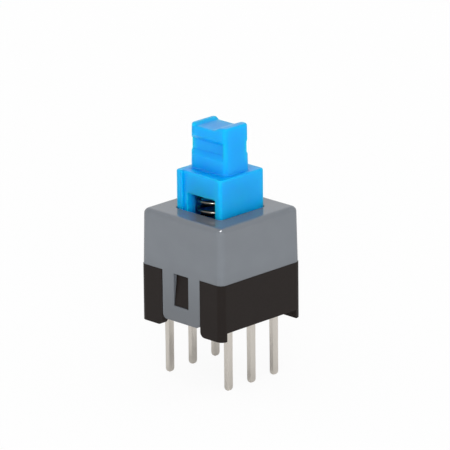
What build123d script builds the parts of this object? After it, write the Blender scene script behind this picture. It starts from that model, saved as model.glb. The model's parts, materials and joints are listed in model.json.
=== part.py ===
"""Latching two-pole push switch for a circuit board: 7 mm square body, six pins, sizes in mm.

The origin is the middle of the pin field on the board's top face, +Z is up along the push axis,
and +X points at the side whose pins are at the right when the snap tongue is seen from the front.
"""

from build123d import *
from math import atan2, cos, radians, sin, tan
import os

os.makedirs("parts", exist_ok=True)

# Body outline and levels
body_side = 7.0
body_corner_radius = 0.42
foot_height = 0.54
foot_thickness = 0.48
foot_end_radius = 0.35
parting_height = 3.63
body_height = 7.19
floor_thickness = 0.66

# Cover
cover_step = 0.02
cover_draft = 0.9
cover_wall = 0.48
cover_roof = 0.69
cover_edge_radius = 0.34
cover_inner_radius = 0.30

# Snap tongues and their catches
tongue_width = 3.2
tongue_drop = 0.05
tongue_corner_radius = 0.35
tongue_clearance = 0.04
window_width = 1.26
window_height = 2.08
window_drop = 0.05
catch_clearance = 0.03
catch_lead_in = 0.27
catch_set_back = 0.04

# Base interior
lip_clearance = 0.05
lip_headroom = 0.20
lip_corner_radius = 0.25
lip_chamfer = 0.12
cavity_corner_radius = 0.15
post_height = 1.4
post_chamfer = 0.15

# Terminals
pin_pitch = 2.0
row_inset = 0.95
pin_length = 3.62
pin_width = 0.45
pin_thickness = 0.33
pin_edge_break = 0.07
pin_point = 0.11
contact_proud = 0.06
common_plate_width = 0.90
flag_reach = 0.60
flag_top_drop = 0.40
upper_flag_height = 1.60
lower_flag_height = 2.70
slot_clearance = 0.02

# Plunger
travel = 2.2
latched_travel = 1.5
shoulder_inset = 1.575
shoulder_rise = 2.47
shoulder_corner_radius = 0.20
shoulder_edge_radius = 0.12
guide_clearance = 0.075
skirt_clearance = 0.20
skirt_top_gap = 0.02
skirt_floor_gap = 0.15

# Stem that a button cap is pressed on
stem_end_inset = 0.375
stem_side_inset = 0.865
stem_height = 2.99
stem_draft = 0.6
stem_corner_radius = 0.28
stem_foot_radius = 0.12
left_rim_width = 0.30
left_rim_drop = 0.11
valley_depth = 0.16
left_flank_run = 0.22
right_flank_run = 0.90
right_rim_width = 0.36
rim_edge_radius = 0.14
groove_height = 1.22
groove_floor_height = 0.64
groove_depth = 0.24
groove_rise = 1.52
groove_end_wall = 0.24

# Spring window in the plunger's front
left_post_width = 0.58
right_post_width = 0.46
web_recess = 0.12
window_left_wall = 0.90
spring_window_top = 1.38
spring_window_sill = 0.15

# Return spring
spring_bore_wall = 0.415
spring_wire = 0.25
spring_wire_sides = 5
spring_pitch = 0.61
spring_bore_clearance = 0.06
spring_post_clearance = 0.20
spring_roof = 0.66

# Latch pin and its heart-shaped track
latch_wire = 0.28
latch_wire_sides = 12
latch_pivot_height = 0.70
latch_leg = 0.38
latch_bend_radius = 0.20
latch_swing = 14.3
latch_bore_clearance = 0.02
latch_wall_gap = 0.09
latch_cam_gap = 0.03
latch_tip_gap = 0.06
cam_bay_width = 1.90
cam_track_depth = 0.38
cam_track_clearance = 0.05
cam_foot = 0.42
heart_lobe_rise = 0.20

# Bridging contacts
bridge_thickness = 0.10
bridge_height = 0.90
bridge_spread_inset = 0.55
bridge_end_length = 0.32
bridge_bend_radius = 0.25
bridge_gap = 0.03
bridge_seat_gap = 0.01
pocket_depth = 0.20
pocket_clearance = 0.05
pocket_end_clearance = 0.10

# Width of the band in which an edge counts as lying at a level
level_band = 0.01

# Levels worked out from the sizes above
floor_z = foot_height + floor_thickness
roof_under_z = body_height - cover_roof
lip_top_z = roof_under_z - lip_headroom
shoulder_top_z = body_height + shoulder_rise
stem_top_z = shoulder_top_z + stem_height
skirt_top_z = roof_under_z - skirt_top_gap
skirt_bottom_z = floor_z + travel + skirt_floor_gap
spring_roof_z = shoulder_top_z - spring_roof
bridge_z = (skirt_bottom_z + skirt_top_z) / 2

# Half widths, from the middle out
body_half = body_side / 2
cover_half = body_half - cover_step
cover_inner_half = cover_half - cover_wall
lip_half = cover_inner_half - lip_clearance
row_half = body_half - row_inset
terminal_face = row_half - pin_thickness / 2
cavity_half = terminal_face + contact_proud
skirt_half = cavity_half - skirt_clearance
shoulder_half = body_half - shoulder_inset
stem_half_length = shoulder_half - stem_end_inset
stem_half_depth = shoulder_half - stem_side_inset
opening_half = shoulder_half + guide_clearance
bore_radius = shoulder_half - spring_bore_wall
spring_radius = bore_radius - spring_bore_clearance
tongue_half = tongue_width / 2
channel_half = tongue_half + tongue_clearance
channel_floor = cover_inner_half - tongue_clearance
bridge_spread = pin_pitch - bridge_spread_inset

# Latch pin's own places: it swings about its lower leg, and its upper leg rides in the track
pivot_z = floor_z + latch_pivot_height
track_z = skirt_bottom_z + cam_foot
latch_length = track_z - pivot_z
cam_face = cavity_half - latch_wall_gap - latch_wire - latch_cam_gap
shank_y = cam_face + latch_cam_gap + latch_wire / 2
track_half_width = latch_wire / 2 + cam_track_clearance
lane_x = latch_length * sin(radians(latch_swing))
lane_rise = travel - latch_length * (1 - cos(radians(latch_swing)))

# Island of the track: its sides run along the lanes, and the latched pin sits in its notch
lane_angle = atan2(lane_x, lane_rise)
heart_foot_z = track_z + track_half_width / sin(lane_angle)
heart_notch_z = track_z + latched_travel - latch_wire / 2
heart_lobe_z = heart_notch_z + heart_lobe_rise
heart_lobe_x = (heart_lobe_z - heart_foot_z) * tan(lane_angle)


def edges_at(part, axis, low, high):
    """Edges of the part that lie wholly between two levels along the axis, give or take the band."""
    return part.edges().filter_by_position(axis, low - level_band, high + level_band)


def upright_edges_from(part, level):
    """Upright edges of the part that start at a level, however high they end."""
    return part.edges().filter_by(Axis.Z).filter_by(
        lambda edge: abs(edge.bounding_box().min.Z - level) < level_band)


def strip_profile(y_low, y_high, z_low, z_high, grow):
    """Rectangle in the YZ plane from two corners, grown on every side, joined to the open sketch."""
    with Locations(((y_low + y_high) / 2, (z_low + z_high) / 2)):
        Rectangle(y_high - y_low + 2 * grow, z_high - z_low + 2 * grow)


def terminal_profile(place, grow):
    """Pin and contact plate of one terminal in the YZ plane.

    place is -1 for the break contact with its flag high, 0 for the common plate, and 1 for the
    make contact with its flag low.
    """
    plate_top = lip_top_z - flag_top_drop
    middle = place * pin_pitch
    pin_low, pin_high = middle - pin_width / 2, middle + pin_width / 2
    if place == 0:
        half = common_plate_width / 2
        strip_profile(pin_low, pin_high, -pin_length, floor_z, grow)
        strip_profile(-half, half, floor_z, plate_top, grow)
    elif place < 0:
        strip_profile(pin_low, pin_high, -pin_length, plate_top, grow)
        strip_profile(pin_low, pin_high + flag_reach, plate_top - upper_flag_height, plate_top, grow)
    else:
        strip_profile(pin_low, pin_high, -pin_length, floor_z + lower_flag_height, grow)
        strip_profile(pin_low - flag_reach, pin_high, floor_z, floor_z + lower_flag_height, grow)


def terminal_plane(side):
    """YZ plane at the middle of the row on that side, local x along +Y and local y along +Z."""
    return Plane(origin=(side * row_half, 0, 0), x_dir=(0, 1, 0), z_dir=(1, 0, 0))


def inward_plane(side, distance):
    """Upright plane parallel to the front, looking at the axis, local y along +Z."""
    return Plane(origin=(0, side * distance, 0), x_dir=(side, 0, 0), z_dir=(0, -side, 0))


def outward_section(side, x_start):
    """Upright YZ section plane whose local x points out of that side and local y along +Z."""
    return Plane(origin=(x_start, 0, 0), x_dir=(0, side, 0), z_dir=(side, 0, 0))


# Base: floor and outer wall up to the parting line, a thinner lip inside the cover, two pairs of feet
with BuildPart() as base:
    with BuildSketch(Plane.XY.offset(foot_height)):
        RectangleRounded(body_side, body_side, body_corner_radius)
    extrude(amount=parting_height - foot_height)
    with BuildSketch(Plane.XY.offset(floor_z)):
        RectangleRounded(2 * lip_half, 2 * lip_half, lip_corner_radius)
    extrude(amount=lip_top_z - floor_z)
    chamfer(base.faces().sort_by(Axis.Z)[-1].edges(), lip_chamfer)
    with BuildSketch(Plane.XY.offset(floor_z)):
        RectangleRounded(2 * cavity_half, 2 * cavity_half, cavity_corner_radius)
    extrude(amount=lip_top_z - floor_z, mode=Mode.SUBTRACT)

    # Feet: the front and back walls run down to the board, between the channels and the corners
    with BuildSketch(Plane.XY):
        RectangleRounded(body_side, body_side, body_corner_radius)
        Rectangle(body_side, body_side - 2 * foot_thickness, mode=Mode.SUBTRACT)
        Rectangle(2 * channel_half, body_side, mode=Mode.SUBTRACT)
    extrude(amount=foot_height)

    # Channels that the snap tongues slide down in
    channel_depth = body_half - channel_floor
    channel_middle = body_half - channel_depth / 2
    with BuildSketch(Plane.XY.offset(foot_height)):
        with Locations((0, channel_middle), (0, -channel_middle)):
            Rectangle(2 * channel_half, channel_depth)
    extrude(amount=parting_height - foot_height, mode=Mode.SUBTRACT)
    foot_ends = edges_at(base, Axis.Z, 0, 0).filter_by(Axis.Y)
    foot_ends = foot_ends & edges_at(base, Axis.X, -channel_half, channel_half)
    fillet(foot_ends, foot_end_radius)

    # Snap catches: wedges in the channels, thin at the top and thick over a square ledge
    catch_top = parting_height - window_drop - catch_clearance
    catch_bottom = parting_height - window_drop - window_height + catch_clearance
    for side in (-1, 1):
        with BuildSketch(outward_section(side, 0)):
            with BuildLine():
                Polyline(
                    (channel_floor, catch_bottom),
                    (cover_half - catch_set_back, catch_bottom),
                    (cover_half - catch_lead_in, catch_top),
                    (channel_floor, catch_top),
                    close=True,
                )
            make_face()
        extrude(amount=window_width / 2 - catch_clearance, both=True)

    # Post that centres the spring
    post_top_z = floor_z + post_height
    with BuildSketch(Plane.XY.offset(floor_z)):
        Circle(spring_radius - spring_wire - spring_post_clearance)
    extrude(amount=post_height)
    chamfer(edges_at(base, Axis.Z, post_top_z, post_top_z).filter_by(GeomType.CIRCLE), post_chamfer)

    # Slots that hold the six terminals
    for side in (-1, 1):
        for place in (-1, 0, 1):
            with BuildSketch(terminal_plane(side)):
                terminal_profile(place, slot_clearance)
            extrude(amount=pin_thickness / 2 + slot_clearance, both=True, mode=Mode.SUBTRACT)

    # Blind hole in the back wall for the latch pin's lower leg
    with BuildSketch(Plane(origin=(0, cavity_half, pivot_z), x_dir=(1, 0, 0), z_dir=(0, 1, 0))):
        Circle(latch_wire / 2 + latch_bore_clearance)
    extrude(amount=latch_leg + latch_tip_gap, mode=Mode.SUBTRACT)
base.part.label = "base"

# Cover: drafted shell with a square opening, and two tongues whose windows snap over the catches
with BuildPart() as cover:
    with BuildSketch(Plane.XY.offset(parting_height)):
        Rectangle(2 * cover_half, 2 * cover_half)
    extrude(amount=body_height - parting_height, taper=cover_draft)
    fillet(cover.edges() - cover.edges().filter_by(Plane.XY), body_corner_radius)
    fillet(cover.faces().sort_by(Axis.Z)[-1].edges(), cover_edge_radius)
    with BuildSketch(Plane.XY.offset(parting_height)):
        RectangleRounded(2 * cover_inner_half, 2 * cover_inner_half, cover_inner_radius)
    extrude(amount=roof_under_z - parting_height, mode=Mode.SUBTRACT)
    with BuildSketch(Plane.XY.offset(roof_under_z)):
        RectangleRounded(2 * opening_half, 2 * opening_half, shoulder_corner_radius + guide_clearance)
    extrude(amount=cover_roof, mode=Mode.SUBTRACT)
    tongue_end = foot_height - tongue_drop
    window_middle = parting_height - window_drop - window_height / 2
    for side in (-1, 1):
        with BuildSketch(inward_plane(side, cover_half)) as tongue:
            with Locations((0, (tongue_end + parting_height) / 2)):
                Rectangle(tongue_width, parting_height - tongue_end)
            fillet(tongue.vertices().group_by(Axis.Y)[0], tongue_corner_radius)
            with Locations((0, window_middle)):
                Rectangle(window_width, window_height, mode=Mode.SUBTRACT)
        extrude(amount=cover_wall)
cover.part.label = "cover"

# Plunger: skirt inside the body, square shoulder in the opening, and the stem that takes a cap
with BuildPart() as plunger:
    with BuildSketch(Plane.XY.offset(skirt_bottom_z)):
        RectangleRounded(2 * skirt_half, 2 * skirt_half, cavity_corner_radius)
    extrude(amount=skirt_top_z - skirt_bottom_z)
    with BuildSketch(Plane.XY.offset(skirt_top_z)):
        RectangleRounded(2 * shoulder_half, 2 * shoulder_half, shoulder_corner_radius)
    extrude(amount=shoulder_top_z - skirt_top_z)

    # The front of the shoulder is set back between its two corner posts
    web_left = -shoulder_half + left_post_width
    web_right = shoulder_half - right_post_width
    with BuildSketch(Plane.XY.offset(skirt_top_z)):
        with Locations(((web_left + web_right) / 2, -shoulder_half + web_recess / 2)):
            Rectangle(web_right - web_left, web_recess)
    extrude(amount=shoulder_top_z - skirt_top_z, mode=Mode.SUBTRACT)
    fillet(plunger.faces().sort_by(Axis.Z)[-1].edges(), shoulder_edge_radius)

    # Stem: drafted block with rounded corners and a rounded foot
    with BuildSketch(Plane.XY.offset(shoulder_top_z)):
        Rectangle(2 * stem_half_length, 2 * stem_half_depth)
    extrude(amount=stem_height, taper=stem_draft)
    stem_edges = plunger.edges().filter_by(lambda edge: edge.center().Z > shoulder_top_z + level_band)
    fillet(stem_edges - stem_edges.filter_by(Plane.XY), stem_corner_radius)
    stem_foot = edges_at(plunger, Axis.Z, shoulder_top_z, shoulder_top_z)
    stem_foot = stem_foot & edges_at(plunger, Axis.X, -stem_half_length, stem_half_length)
    stem_foot = stem_foot & edges_at(plunger, Axis.Y, -stem_half_depth, stem_half_depth)
    fillet(stem_foot, stem_foot_radius)

    # Its top: a low rim along the left, and a valley that sweeps up to a higher rim on the right
    draft_slope = tan(radians(stem_draft))
    left_rim_z = stem_top_z - left_rim_drop
    valley_z = left_rim_z - valley_depth
    stem_top_half_length = stem_half_length - stem_height * draft_slope
    left_rim_end = -stem_top_half_length + left_rim_width
    right_rim_start = stem_top_half_length - right_rim_width
    with BuildSketch(Plane.XZ):
        with BuildLine():
            left_side = Polyline(
                (-stem_half_length, stem_top_z),
                (-stem_half_length, left_rim_z),
                (left_rim_end, left_rim_z),
                (left_rim_end + left_flank_run, valley_z),
                (right_rim_start - right_flank_run, valley_z),
            )
            sweep_up = Spline(left_side @ 1, (right_rim_start, stem_top_z), tangents=((1, 0), (1, 0)))
            Line(sweep_up @ 1, left_side @ 0)
        make_face()
    extrude(amount=stem_half_depth, both=True, mode=Mode.SUBTRACT)
    fillet(edges_at(plunger, Axis.Z, valley_z, stem_top_z), rim_edge_radius)

    # A cap's snap groove on the front and one on the back, each open at its own end of the face
    groove_z = shoulder_top_z + groove_rise
    groove_face = stem_half_depth - groove_rise * draft_slope
    groove_flare = (groove_height - groove_floor_height) / 2
    for side in (-1, 1):
        with BuildSketch(outward_section(side, -side * (stem_half_length - groove_end_wall))):
            with BuildLine():
                Polyline(
                    (groove_face - groove_depth, groove_z - groove_floor_height / 2),
                    (groove_face + groove_depth, groove_z - groove_floor_height / 2 - 2 * groove_flare),
                    (groove_face + groove_depth, groove_z + groove_floor_height / 2 + 2 * groove_flare),
                    (groove_face - groove_depth, groove_z + groove_floor_height / 2),
                    close=True,
                )
            make_face()
        extrude(amount=2 * stem_half_length, mode=Mode.SUBTRACT)

    # Bore for the spring, and the window that shows it
    with BuildSketch(Plane.XY.offset(skirt_bottom_z)):
        Circle(bore_radius)
    extrude(amount=spring_roof_z - skirt_bottom_z, mode=Mode.SUBTRACT)
    window_left = -shoulder_half + window_left_wall
    sill_z = skirt_top_z + spring_window_sill
    lintel_z = shoulder_top_z - spring_window_top
    with BuildSketch(Plane.XZ):
        with Locations(((window_left + web_right) / 2, (sill_z + lintel_z) / 2)):
            Rectangle(web_right - window_left, lintel_z - sill_z)
    extrude(amount=shoulder_half, mode=Mode.SUBTRACT)

    # Pockets in the skirt's two sides for the bridging contacts
    pocket_half = bridge_spread + bridge_end_length + pocket_end_clearance
    for side in (-1, 1):
        with BuildSketch(Plane.XY.offset(bridge_z - bridge_height / 2 - pocket_clearance)):
            with Locations((side * (skirt_half - pocket_depth / 2), 0)):
                Rectangle(pocket_depth, 2 * pocket_half)
        extrude(amount=bridge_height + 2 * pocket_clearance, mode=Mode.SUBTRACT)

    # Bay in the back of the skirt, where the latch pin stands
    with BuildSketch(Plane.XY.offset(skirt_bottom_z)):
        with Locations((0, (cam_face + skirt_half) / 2)):
            Rectangle(cam_bay_width, skirt_half - cam_face)
    extrude(amount=skirt_top_z - skirt_bottom_z, mode=Mode.SUBTRACT)

    # Heart-shaped track: a press lane and a return lane round an island with a notch on top
    with BuildSketch(inward_plane(1, cam_face)):
        with Locations((0, track_z), (lane_x, track_z + lane_rise), (-lane_x, track_z + lane_rise)):
            Circle(track_half_width)
        make_hull()
        with BuildLine():
            Polyline(
                (0, heart_foot_z),
                (heart_lobe_x, heart_lobe_z),
                (0, heart_notch_z),
                (-heart_lobe_x, heart_lobe_z),
                close=True,
            )
        make_face(mode=Mode.SUBTRACT)
    extrude(amount=cam_track_depth, mode=Mode.SUBTRACT)
plunger.part.label = "plunger"

# Return spring: one wire wound between the base's floor and the roof of the plunger's bore
# Its section has few sides, because a round one's many turns would be most of the model's facets
with BuildPart() as return_spring:
    with BuildLine(Plane.XY.offset(floor_z)):
        coil = Helix(spring_pitch, spring_roof_z - floor_z, spring_radius - spring_wire / 2)
    with BuildSketch(Plane(origin=coil @ 0, z_dir=coil % 0)):
        RegularPolygon(spring_wire / 2, spring_wire_sides)
    sweep(path=coil, is_frenet=True)
    # Both ends are ground flat
    split(bisect_by=Plane.XY.offset(floor_z), keep=Keep.TOP)
    split(bisect_by=Plane.XY.offset(spring_roof_z), keep=Keep.BOTTOM)
return_spring.part.label = "return_spring"

# Latch pin: wire with its two legs bent opposite ways, its section many-sided as the spring's is
with BuildPart() as latch_pin:
    with BuildLine(Plane.YZ) as latch_path:
        FilletPolyline(
            (cavity_half + latch_leg, pivot_z),
            (shank_y, pivot_z),
            (shank_y, track_z),
            (cam_face - cam_track_depth + latch_tip_gap, track_z),
            radius=latch_bend_radius,
        )
    with BuildSketch(Plane(origin=latch_path.line @ 0, z_dir=latch_path.line % 0)):
        RegularPolygon(latch_wire / 2, latch_wire_sides)
    sweep()
latch_pin.part.label = "latch_pin"

# Bridging contacts: springy strips with three bends that touch the fixed plates
side_names = {-1: "left", 1: "right"}
bridge_out = terminal_face - bridge_gap - bridge_thickness / 2
bridge_in = skirt_half - pocket_depth + bridge_seat_gap + bridge_thickness / 2
bridges = {}
for side, side_name in side_names.items():
    with BuildPart() as bridge:
        with BuildSketch(Plane.XY.offset(bridge_z - bridge_height / 2)):
            with BuildLine():
                bends = [(side * bridge_in, -bridge_spread - bridge_end_length)]
                for place in (-1, 0, 1):
                    bends.append((side * bridge_out, place * bridge_spread))
                    if place < 1:
                        bends.append((side * bridge_in, (place + 0.5) * bridge_spread))
                bends.append((side * bridge_in, bridge_spread + bridge_end_length))
                FilletPolyline(*bends, radius=bridge_bend_radius)
                offset(amount=bridge_thickness / 2, side=Side.BOTH)
            make_face()
        extrude(amount=bridge_height)
    bridge.part.label = "bridging_contact_" + side_name
    bridges[bridge.part.label] = bridge.part

# Terminals: each is a solder pin and its contact plate, stamped in one piece
place_names = {-1: "break", 0: "common", 1: "make"}
terminals = {}
for side, side_name in side_names.items():
    for place, place_name in place_names.items():
        with BuildPart() as terminal:
            with BuildSketch(terminal_plane(side)):
                terminal_profile(place, 0)
            extrude(amount=pin_thickness / 2, both=True)
            chamfer(upright_edges_from(terminal, -pin_length), pin_edge_break)
            chamfer(terminal.faces().sort_by(Axis.Z)[0].edges(), pin_point)
        terminal.part.label = "terminal_" + place_name + "_" + side_name
        terminals[terminal.part.label] = terminal.part

export_step(base.part, "parts/base.step")
export_step(cover.part, "parts/cover.step")
export_step(plunger.part, "parts/plunger.step")
export_step(return_spring.part, "parts/return_spring.step")
export_step(latch_pin.part, "parts/latch_pin.step")
for name, part in (bridges | terminals).items():
    export_step(part, "parts/" + name + ".step")
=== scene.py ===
"""Looks of a 7 mm latching push switch: grey cover, black base, blue plunger, tinned pins."""

import json
import math

import bpy
import numpy as np
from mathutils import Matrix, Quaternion, Vector


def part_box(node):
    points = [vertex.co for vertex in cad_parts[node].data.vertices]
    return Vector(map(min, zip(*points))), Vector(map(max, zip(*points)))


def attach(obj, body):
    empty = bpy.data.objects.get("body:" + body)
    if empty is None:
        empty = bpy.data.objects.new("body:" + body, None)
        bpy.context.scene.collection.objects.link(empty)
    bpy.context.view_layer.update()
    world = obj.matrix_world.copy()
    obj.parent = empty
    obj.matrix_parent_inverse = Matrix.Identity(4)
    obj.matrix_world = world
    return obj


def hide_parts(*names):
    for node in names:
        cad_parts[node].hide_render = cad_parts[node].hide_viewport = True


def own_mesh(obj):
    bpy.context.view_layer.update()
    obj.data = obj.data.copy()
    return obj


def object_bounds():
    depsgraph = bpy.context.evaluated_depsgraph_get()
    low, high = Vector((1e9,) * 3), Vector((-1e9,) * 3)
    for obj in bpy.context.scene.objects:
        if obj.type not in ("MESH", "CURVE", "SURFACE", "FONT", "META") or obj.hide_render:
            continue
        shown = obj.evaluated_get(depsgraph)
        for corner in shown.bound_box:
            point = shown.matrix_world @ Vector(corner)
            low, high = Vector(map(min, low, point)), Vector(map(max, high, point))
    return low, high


MM = 0.001

# Sizes in millimetres, as in the part's source
floor_level = 1.2
upper_flag = 1.6
pin_pitch = 2.0
pin_width = 0.45
pin_thickness = 0.33
spring_wire = 0.25
spring_pitch = 0.61
bore_radius = 1.51
bore_roof = 9.0

# Sizes in millimetres that only the looks have
pin_tip = 0.26
pin_shank_start = 0.5
pin_root = 0.3
pin_top_gap = 0.05
pin_spread_length = 2.0
plate_edge = 0.04
# Heights over which the cover's painted shade fades out upwards
tongue_foot = 1.2
tongue_top = 4.4
# How far the bore's painted shade reaches out from its wall, and how it fades above the bore's
# roof
bore_shade_reach = 0.29
bore_shade_rise = 0.05
bore_shade_fade = 0.1
floor_half = 600
lamp_distance = 300
lamp_aim_height = 4

# Shares: what is left of a pin's section at its tip, and how much wider it is at its root
pin_tip_left = 0.35
pin_spread = 0.06

# Rings of points along a pin's tip and its shank, and the angle of an edge that stays sharp
tip_rings, shank_rings = 12, 14
crease_angle = 50

# Light: strength of the dome, and of what shows in reflections
horizon_light = 0.3
zenith_light = 0.85
mirror_azimuth = 45
lobe_azimuth = 46
lobe_elevation = 14
lobe_edge = 0.85
lobe_light = 5.4
side_mirror = 0.85
end_mirror = 1.05
side_edge = 0.1
end_edge = 0.6
floor_glow = 0.9
table_light = 0.1
table_mirror = 0.1

# Middle of a noise's range, over which it is spread
noise_low, noise_high = 0.3, 0.7

# Sockets of a Mix node by number: factor, two inputs and output, for colours and for numbers
mix_factor = 0
colour_low, colour_high, colour_out = 6, 7, 2
number_low, number_high, number_out = 2, 3, 0

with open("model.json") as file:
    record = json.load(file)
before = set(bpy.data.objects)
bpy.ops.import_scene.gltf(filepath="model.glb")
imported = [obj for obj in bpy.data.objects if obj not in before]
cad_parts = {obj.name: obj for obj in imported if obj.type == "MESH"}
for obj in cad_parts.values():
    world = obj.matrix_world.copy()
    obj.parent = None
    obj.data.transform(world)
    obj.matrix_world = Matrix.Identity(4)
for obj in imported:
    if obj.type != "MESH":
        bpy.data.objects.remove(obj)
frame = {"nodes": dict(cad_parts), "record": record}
cad_low, cad_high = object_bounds()
nodes = frame["nodes"]


# Colours and shader nodes

def linear(hex_text):
    """Linear RGBA of an sRGB colour written as six hex digits."""
    values = [int(hex_text[i:i + 2], 16) / 255 for i in (0, 2, 4)]
    return [v / 12.92 if v <= 0.04045 else ((v + 0.055) / 1.055) ** 2.4 for v in values] + [1.0]


def per_mm(size):
    """Texture scale at which one feature is size millimetres across."""
    return 1 / (size * MM)


def add_node(tree, kind, settings=None, inputs=None):
    """Adds a node, sets its properties, and fills its inputs with values or links."""
    node = tree.nodes.new(kind)
    for name, value in (settings or {}).items():
        setattr(node, name, value)
    for socket, value in (inputs or {}).items():
        if isinstance(value, bpy.types.NodeSocket):
            tree.links.new(value, node.inputs[socket])
        else:
            node.inputs[socket].default_value = value
    return node


def mottled_finish(name, colours, roughness, relief=None, surface=None, stretch=1.0, detail=3.0):
    """Finish whose colour, gloss and relief each vary in patches, by noise on object coordinates.

    colours is two hex texts and the patches' size in millimetres, roughness two values and a size,
    and relief a depth in millimetres, a strength and a size. surface holds the shader's plain
    values by socket. The patches are drawn out along Z by one over stretch. Returns the material,
    its tree, the shader, the mottled colour and the coordinates.
    """
    material = bpy.data.materials.new(name)
    material.use_nodes = True
    tree = material.node_tree
    tree.nodes.clear()
    place = add_node(tree, "ShaderNodeTexCoord").outputs["Object"]
    drawn = add_node(tree, "ShaderNodeMapping", None, {
        "Vector": place, "Scale": (1, 1, stretch)}).outputs["Vector"]
    patches = [
        add_node(tree, "ShaderNodeTexNoise", None, {
            "Vector": drawn, "Scale": per_mm(size), "Detail": detail}).outputs["Fac"]
        for *_, size in filter(None, (colours, roughness, relief))]
    colour = add_node(tree, "ShaderNodeMix", {"data_type": "RGBA"}, {
        mix_factor: patches[0], colour_low: linear(colours[0]),
        colour_high: linear(colours[1])}).outputs[colour_out]
    gloss = add_node(tree, "ShaderNodeMapRange", None, {
        "Value": patches[1], "From Min": noise_low, "From Max": noise_high,
        "To Min": roughness[0], "To Max": roughness[1]}).outputs["Result"]
    shader = add_node(tree, "ShaderNodeBsdfPrincipled", None, {
        "Base Color": colour, "Roughness": gloss, **(surface or {})})
    if relief:
        bump = add_node(tree, "ShaderNodeBump", None, {
            "Height": patches[2], "Distance": relief[0] * MM, "Strength": relief[1]})
        tree.links.new(bump.outputs["Normal"], shader.inputs["Normal"])
    add_node(tree, "ShaderNodeOutputMaterial", None, {"Surface": shader.outputs["BSDF"]})
    return material, tree, shader, colour, place


def cover_pbt():
    """Glossy grey PBT from a polished mould: clear reflections, faint flow mottling in the grey.

    Painted shade: the grey is painted darker towards the bottom, over the tongues, where less
    light reaches close to the floor.
    """
    material, tree, shader, grey, place = mottled_finish(
        "glossy_grey_pbt", ("686D73", "6F747A", 1.6), (0.07, 0.11, 0.5), (0.001, 0.2, 0.7),
        {"IOR": 1.52})
    # Painted shade: below the tongues' top the grey turns to a darker grey, darkest at and below
    # their foot
    height = add_node(tree, "ShaderNodeSeparateXYZ", None, {"Vector": place}).outputs["Z"]
    above_painted_shade = add_node(tree, "ShaderNodeMapRange", None, {
        "Value": height, "From Min": tongue_foot * MM, "From Max": tongue_top * MM})
    cover_painted_shade = add_node(tree, "ShaderNodeMix", {"data_type": "RGBA"}, {
        mix_factor: above_painted_shade.outputs["Result"], colour_low: linear("5F6368"),
        colour_high: grey})
    tree.links.new(cover_painted_shade.outputs[colour_out], shader.inputs["Base Color"])
    return material


def base_nylon():
    """Black nylon from an unpolished mould: satin, with a fine spark-eroded grain.

    The grain is drawn coarser than the real one, so that it shows.
    """
    return mottled_finish(
        "satin_black_nylon", ("150E0B", "19120F", 0.9), (0.42, 0.52, 0.12), (0.0015, 0.3, 0.06),
        {"IOR": 1.5, "Specular IOR Level": 0.18})[0]


def plunger_acetal():
    """Sky blue acetal: slightly waxy and translucent, so light softens inside its corners.

    Painted shade: the bore, and the window's walls next to it, are painted a deeper blue, as they
    lie
    in shade inside the plunger: below the bore's roof, by the distance from its axis.
    """
    material, tree, shader, blue, place = mottled_finish(
        "sky_blue_acetal", ("009BE4", "00A1EA", 1.2), (0.28, 0.36, 0.3), (0.001, 0.2, 0.4), {
            "IOR": 1.48,
            "Specular IOR Level": 0.35,
            "Specular Tint": (0.5, 0.85, 1.0, 1.0),
            "Subsurface Weight": 1.0,
            "Subsurface Radius": (0.3, 0.8, 0.55),
            "Subsurface Scale": 2.5 * MM,
        })
    # Painted shade: deeper blue inside the bore's radius and below its roof, fading out over a
    # short reach
    parts = add_node(tree, "ShaderNodeSeparateXYZ", None, {"Vector": place}).outputs
    level = add_node(tree, "ShaderNodeCombineXYZ", None, {"X": parts["X"], "Y": parts["Y"]})
    reach = add_node(tree, "ShaderNodeVectorMath", {"operation": "LENGTH"}, {
        0: level.outputs["Vector"]})
    beyond = add_node(tree, "ShaderNodeMapRange", None, {
        "Value": reach.outputs["Value"],
        "From Min": bore_radius * MM, "From Max": (bore_radius + bore_shade_reach) * MM})
    above = add_node(tree, "ShaderNodeMapRange", None, {
        "Value": parts["Z"], "From Min": (bore_roof + bore_shade_rise) * MM,
        "From Max": (bore_roof + bore_shade_rise + bore_shade_fade) * MM})
    out_of_bore_shade = add_node(tree, "ShaderNodeMath", {"operation": "MAXIMUM"}, {
        0: beyond.outputs["Result"], 1: above.outputs["Result"]})
    bore_painted_shade = add_node(tree, "ShaderNodeMix", {"data_type": "RGBA"}, {
        mix_factor: out_of_bore_shade.outputs["Value"], colour_low: linear("1A7AC8"), colour_high: blue})
    tree.links.new(bore_painted_shade.outputs[colour_out], shader.inputs["Base Color"])
    return material


def pin_tin():
    """Tin-plated brass: pale, slightly dull metal, drawn along the pin with faint streaks.

    The streaks are coarser than the real ones, so that they show.
    """
    return mottled_finish(
        "tinned_brass", ("C3BDB5", "D9D4CC", 0.2), (0.18, 0.3, 0.2), (0.006, 0.3, 0.2),
        {"Metallic": 1.0}, stretch=0.03, detail=2.0)[0]


def spring_steel():
    """Drawn music wire: dark and smooth, with sharp highlights along the turns."""
    return mottled_finish(
        "drawn_spring_steel", ("5E5A55", "76716A", 0.4), (0.18, 0.28, 0.15),
        surface={"Metallic": 1.0})[0]


def contact_silver():
    """Silver-plated bronze strip: bright, warm, softly brushed."""
    return mottled_finish(
        "silver_plated_bronze", ("D8D0C0", "E6E0D2", 0.3), (0.22, 0.34, 0.1),
        surface={"Metallic": 1.0})[0]


finishes = {
    "cover_plastic": cover_pbt(),
    "base_plastic": base_nylon(),
    "plunger_plastic": plunger_acetal(),
    "spring_steel": spring_steel(),
    "contact_bronze": contact_silver(),
    "tinned_brass": pin_tin(),
}
for row in frame["record"]["subparts"]:
    mesh = nodes[row["node"]].data
    mesh.materials.clear()
    mesh.materials.append(finishes[row["material_slot"]])


# Pieces of the scene

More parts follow.
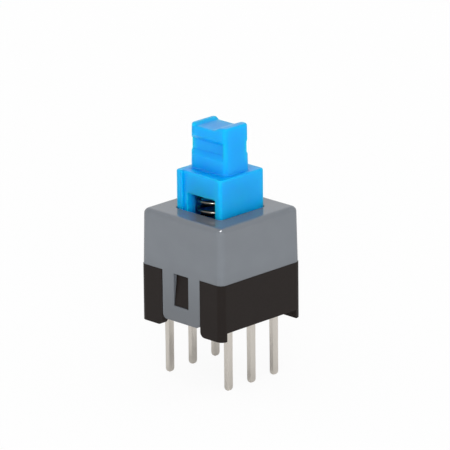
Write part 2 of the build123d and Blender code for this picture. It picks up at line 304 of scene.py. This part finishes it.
def shell_mesh(name, shells):
    """Mesh of closed shells, each an array of rings (rings, points per ring, 3) in millimetres.

    Neighbouring rings are joined by quads all the way round, and the first and last ring are each
    closed by one flat face.
    """
    points, faces, base = [], [], 0
    for rings in shells:
        count, around = rings.shape[:2]
        here = base + np.arange(count * around).reshape(count, around)
        beside = np.roll(here, -1, axis=1)
        quads = np.stack([here[:-1], beside[:-1], beside[1:], here[1:]], axis=-1).reshape(-1, 4)
        faces += quads.tolist() + [here[0, ::-1].tolist(), here[-1].tolist()]
        points.append(rings.reshape(-1, 3))
        base += count * around
    mesh = bpy.data.meshes.new(name)
    mesh.from_pydata((np.concatenate(points) * MM).tolist(), [], faces)
    mesh.polygons.foreach_set("use_smooth", np.ones(len(faces), bool))
    mesh.set_sharp_from_angle(angle=math.radians(crease_angle))
    return mesh


def dress(name, shells, slot, node):
    """Puts a new piece in the place of a CAD node, with that slot's finish, on the housing."""
    mesh = shell_mesh(name, shells)
    mesh.materials.append(finishes[slot])
    piece = bpy.data.objects.new(name, mesh)
    bpy.context.scene.collection.objects.link(piece)
    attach(piece, "housing")
    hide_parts(node)
    return piece


def bar_shell(middle, levels, half_x, half_y, around=64, sharpness=14):
    """Upright bar: a rounded square carried up the levels, its half widths given at each level.

    The square's coordinates are powers of cosine and sine, squarer as the sharpness grows.
    """
    angles = np.arange(around) * 2 * np.pi / around
    across, along = [np.sign(side) * np.abs(side) ** (2 / sharpness)
                     for side in (np.cos(angles), np.sin(angles))]
    rings = np.empty((len(levels), around, 3))
    rings[..., 0] = middle[0] + np.asarray(half_x)[:, None] * across
    rings[..., 1] = middle[1] + np.asarray(half_y)[:, None] * along
    rings[..., 2] = np.asarray(levels)[:, None]
    return rings


def smooth_step(values, start, end):
    """0 before start, 1 after end, and three t squared less two t cubed between them."""
    t = np.clip((values - start) / (end - start), 0, 1)
    return t * t * (3 - 2 * t)


def pin_shell(middle, tip, top):
    """Solder pin: a coined bar that widens a little towards the body, with an elliptic tip."""
    turn = np.linspace(0, np.pi / 2, tip_rings)
    shank = np.linspace(tip + pin_shank_start, top, shank_rings)
    levels = np.concatenate([tip + pin_tip * (1 - np.cos(turn)), shank])
    closing = np.concatenate([
        pin_tip_left + (1 - pin_tip_left) * np.sin(turn), np.ones(shank_rings)])
    spread = 1 + pin_spread * smooth_step(levels, -pin_spread_length, 0.0)
    return bar_shell(middle, levels, pin_thickness / 2 * closing, pin_width / 2 * closing * spread)


def plate_shell(middle, bottom, top, width, thickness):
    """Contact plate: a coined bar with its four end edges broken."""
    levels = [bottom, bottom + plate_edge, top - plate_edge, top]
    inset = np.array([plate_edge, 0, 0, plate_edge])
    return bar_shell(middle, levels, thickness / 2 - inset, width / 2 - inset)


def make_terminals():
    """The six terminals, each a pin and the plate that it carries, placed by its CAD node's box.

    The common pin runs up under the middle of its plate, the other two up beside theirs.
    """
    for side in ("left", "right"):
        for place in ("break", "common", "make"):
            node = "terminal_" + place + "_" + side
            low, high = [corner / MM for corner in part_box(node)]
            middle = (low + high) / 2
            pin_y = {"break": -pin_pitch, "common": middle.y, "make": pin_pitch}[place]
            pin_top = floor_level + pin_root if place == "common" else high.z - pin_top_gap
            plate_foot = high.z - upper_flag if place == "break" else floor_level
            shells = [
                pin_shell((middle.x, pin_y), low.z, pin_top),
                plate_shell((middle.x, middle.y), plate_foot, high.z,
                            high.y - low.y, high.x - low.x),
            ]
            dress("pin_" + place + "_" + side, shells, "tinned_brass", node)


def make_spring():
    """Return spring: a round wire wound on a cylinder, its end turns closed and ground flat.

    A point of the wire's surface lies at coil radius plus r cos psi outwards, and r sin psi along
    the binormal of the helix. The pitch runs from the wire's own thickness in the end turns to the
    free pitch between them, and the level is the running sum of the pitch. Points below and above
    the two ground faces are brought level with them.
    """
    steps_per_turn, wire_sides, ground_share = 48, 20, 0.1
    low, high = [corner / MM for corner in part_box("return_spring")]
    wire = spring_wire / 2
    coil = (high.x - low.x) / 2 - wire
    climb = high.z - low.z - 2 * ground_share * spring_wire
    turns = (climb - 3 * spring_wire) / spring_pitch + 3
    s = np.arange(0, turns + 1 / steps_per_turn, 1 / steps_per_turn)
    s = s * turns / s[-1]
    open_share = smooth_step(s, 1.0, 2.0) * smooth_step(turns - s, 1.0, 2.0)
    pitch = spring_wire + (spring_pitch - spring_wire) * open_share
    level = np.concatenate([[0], np.cumsum((pitch[1:] + pitch[:-1]) / 2 * np.diff(s))])
    level = low.z + ground_share * spring_wire + level * climb / level[-1]
    # The turns are started so that the middle ones meet the source's helix
    middle = len(s) // 2
    start = (level[middle] - low.z) / spring_pitch - s[middle]
    turn = 2 * np.pi * (s + start)
    slope = pitch / (2 * np.pi * coil)
    lean = 1 / np.sqrt(1 + slope ** 2)
    outward = np.stack([np.cos(turn), np.sin(turn), np.zeros_like(turn)], -1)
    binormal = np.stack([np.sin(turn) * slope * lean, -np.cos(turn) * slope * lean, lean], -1)
    centre = coil * outward + np.stack([0 * turn, 0 * turn, level], -1)
    psi = np.arange(wire_sides) * 2 * np.pi / wire_sides
    rings = (centre[:, None] + wire * np.cos(psi)[None, :, None] * outward[:, None]
             + wire * np.sin(psi)[None, :, None] * binormal[:, None])
    rings[..., 2] = np.clip(rings[..., 2], low.z, high.z)
    spring = dress("spring", [rings], "spring_steel", "return_spring")
    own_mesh(spring)
    return spring


make_terminals()
spring = make_spring()


# Floor, light and camera

def floor_white():
    """Light table of white acrylic: plain white to the camera, with a soft shadow under the pins.

    It glows faintly for other rays, and its underside lets a view from below through.
    """
    material = bpy.data.materials.new("white_light_table")
    material.use_nodes = True
    tree = material.node_tree
    tree.nodes.clear()
    rays = add_node(tree, "ShaderNodeLightPath").outputs
    lit = add_node(tree, "ShaderNodeMix", {"data_type": "FLOAT"}, {
        mix_factor: rays["Is Glossy Ray"], number_low: table_light, number_high: table_mirror})
    glow = add_node(tree, "ShaderNodeEmission", None, {
        "Color": (1, 1, 1, 1), "Strength": lit.outputs[number_out]})
    paint = add_node(tree, "ShaderNodeBsdfDiffuse", None, {"Color": linear("FAFAFA")})
    table = add_node(tree, "ShaderNodeAddShader", None, {
        0: glow.outputs["Emission"], 1: paint.outputs["BSDF"]})
    white = add_node(tree, "ShaderNodeEmission", None, {"Color": (1, 1, 1, 1), "Strength": 1.0})
    share = add_node(tree, "ShaderNodeMath", {"operation": "MULTIPLY"}, {
        0: rays["Is Camera Ray"], 1: floor_glow})
    top = add_node(tree, "ShaderNodeMixShader", None, {
        0: share.outputs["Value"], 1: table.outputs["Shader"], 2: white.outputs["Emission"]})
    under = add_node(tree, "ShaderNodeNewGeometry").outputs["Backfacing"]
    clear = add_node(tree, "ShaderNodeBsdfTransparent").outputs["BSDF"]
    sheet = add_node(tree, "ShaderNodeMixShader", None, {
        0: under, 1: top.outputs["Shader"], 2: clear})
    add_node(tree, "ShaderNodeOutputMaterial", None, {"Surface": sheet.outputs["Shader"]})
    return material


def make_floor():
    """Flat square that the pins stand on."""
    half, level = floor_half * MM, cad_low.z
    mesh = bpy.data.meshes.new("floor")
    corners = [(-half, -half), (half, -half), (half, half), (-half, half)]
    mesh.from_pydata([(x, y, level) for x, y in corners], [], [(0, 1, 2, 3)])
    mesh.materials.append(floor_white())
    floor = bpy.data.objects.new("floor", mesh)
    bpy.context.scene.collection.objects.link(floor)


def toward(azimuth, elevation):
    """Unit vector to a place round the body: azimuth 0 is the front, 90 the right side."""
    a, e = math.radians(azimuth), math.radians(elevation)
    return Vector((math.sin(a) * math.cos(e), -math.cos(a) * math.cos(e), math.sin(e)))


def make_world():
    """White room, plain white to the eye.

    For lighting it is a dim dome, brighter overhead, with a broad soft light beyond the camera.
    In reflections it is white ahead of and behind that light, and a shade darker to its sides.
    """
    world = bpy.data.worlds.new("studio")
    bpy.context.scene.world = world
    world.use_nodes = True
    tree = world.node_tree
    tree.nodes.clear()
    direction = add_node(tree, "ShaderNodeTexCoord").outputs["Generated"]
    rays = add_node(tree, "ShaderNodeLightPath").outputs

    height = add_node(tree, "ShaderNodeSeparateXYZ", None, {"Vector": direction}).outputs["Z"]
    sky = add_node(tree, "ShaderNodeMapRange", None, {
        "Value": height, "From Min": 0.0, "From Max": 1.0,
        "To Min": horizon_light, "To Max": zenith_light})
    facing = add_node(tree, "ShaderNodeVectorMath", {"operation": "DOT_PRODUCT"}, {
        0: direction, 1: toward(lobe_azimuth, lobe_elevation)})
    lobe = add_node(tree, "ShaderNodeMapRange", {"interpolation_type": "SMOOTHSTEP"}, {
        "Value": facing.outputs["Value"], "From Min": lobe_edge, "From Max": 1.0,
        "To Min": 0.0, "To Max": lobe_light})
    dome = add_node(tree, "ShaderNodeMath", {"operation": "ADD"}, {
        0: sky.outputs["Result"], 1: lobe.outputs["Result"]})

    along = add_node(tree, "ShaderNodeVectorMath", {"operation": "DOT_PRODUCT"}, {
        0: direction, 1: toward(mirror_azimuth, 0)})
    from_side = add_node(tree, "ShaderNodeMath", {"operation": "ABSOLUTE"}, {
        0: along.outputs["Value"]})
    mirrored = add_node(tree, "ShaderNodeMapRange", None, {
        "Value": from_side.outputs["Value"], "From Min": side_edge, "From Max": end_edge,
        "To Min": side_mirror, "To Max": end_mirror})
    reflected = add_node(tree, "ShaderNodeMix", {"data_type": "FLOAT"}, {
        mix_factor: rays["Is Glossy Ray"], number_low: dome.outputs["Value"],
        number_high: mirrored.outputs["Result"]})

    seen = add_node(tree, "ShaderNodeMath", {"operation": "MAXIMUM"}, {
        0: rays["Is Camera Ray"], 1: rays["Is Transmission Ray"]})
    strength = add_node(tree, "ShaderNodeMix", {"data_type": "FLOAT"}, {
        mix_factor: seen.outputs["Value"], number_low: reflected.outputs[number_out],
        number_high: 1.0})
    light = add_node(tree, "ShaderNodeBackground", None, {
        "Color": (1, 1, 1, 1), "Strength": strength.outputs[number_out]})
    add_node(tree, "ShaderNodeOutputWorld", None, {"Surface": light.outputs["Background"]})


def glint_lamp(name, azimuth, elevation, size, power, piece):
    """Small square lamp that shows only as a glint, and only on one piece."""
    back = toward(azimuth, elevation)
    lamp = bpy.data.lights.new(name, "AREA")
    lamp.size = size
    lamp.energy = power
    lamp_object = bpy.data.objects.new(name, lamp)
    lamp_object.location = back * lamp_distance * MM + Vector((0, 0, lamp_aim_height * MM))
    lamp_object.rotation_mode = "QUATERNION"
    lamp_object.rotation_quaternion = (-back).to_track_quat("-Z", "Y")
    lamp_object.visible_diffuse = False
    bpy.context.scene.collection.objects.link(lamp_object)
    lit = bpy.data.collections.new(name)
    lit.objects.link(piece)
    lamp_object.light_linking.receiver_collection = lit


def make_camera():
    """Telephoto camera over the front right corner of the body."""
    distance = 319.24 * MM
    aim = Vector((-0.19, 0.59, 5.82)) * MM
    back = toward(44.82, 18.08)
    roll = math.radians(-0.61)
    camera = bpy.data.cameras.new("camera")
    camera.sensor_width = 36
    camera.lens = 415
    camera.clip_start = 10 * MM
    camera.clip_end = 10
    camera_object = bpy.data.objects.new("camera", camera)
    camera_object.location = aim + back * distance
    camera_object.rotation_mode = "QUATERNION"
    level_turn = (-back).to_track_quat("-Z", "Y")
    camera_object.rotation_quaternion = level_turn @ Quaternion((0, 0, 1), roll)
    bpy.context.scene.collection.objects.link(camera_object)
    bpy.context.scene.camera = camera_object


make_floor()
make_world()
glint_lamp("corner_glint", 45, 75, 0.1, 0.8, nodes["cover"])
glint_lamp("wire_glint", 5, 15, 0.05, 0.5, spring)
make_camera()
bpy.context.scene.view_settings.view_transform = "Standard"
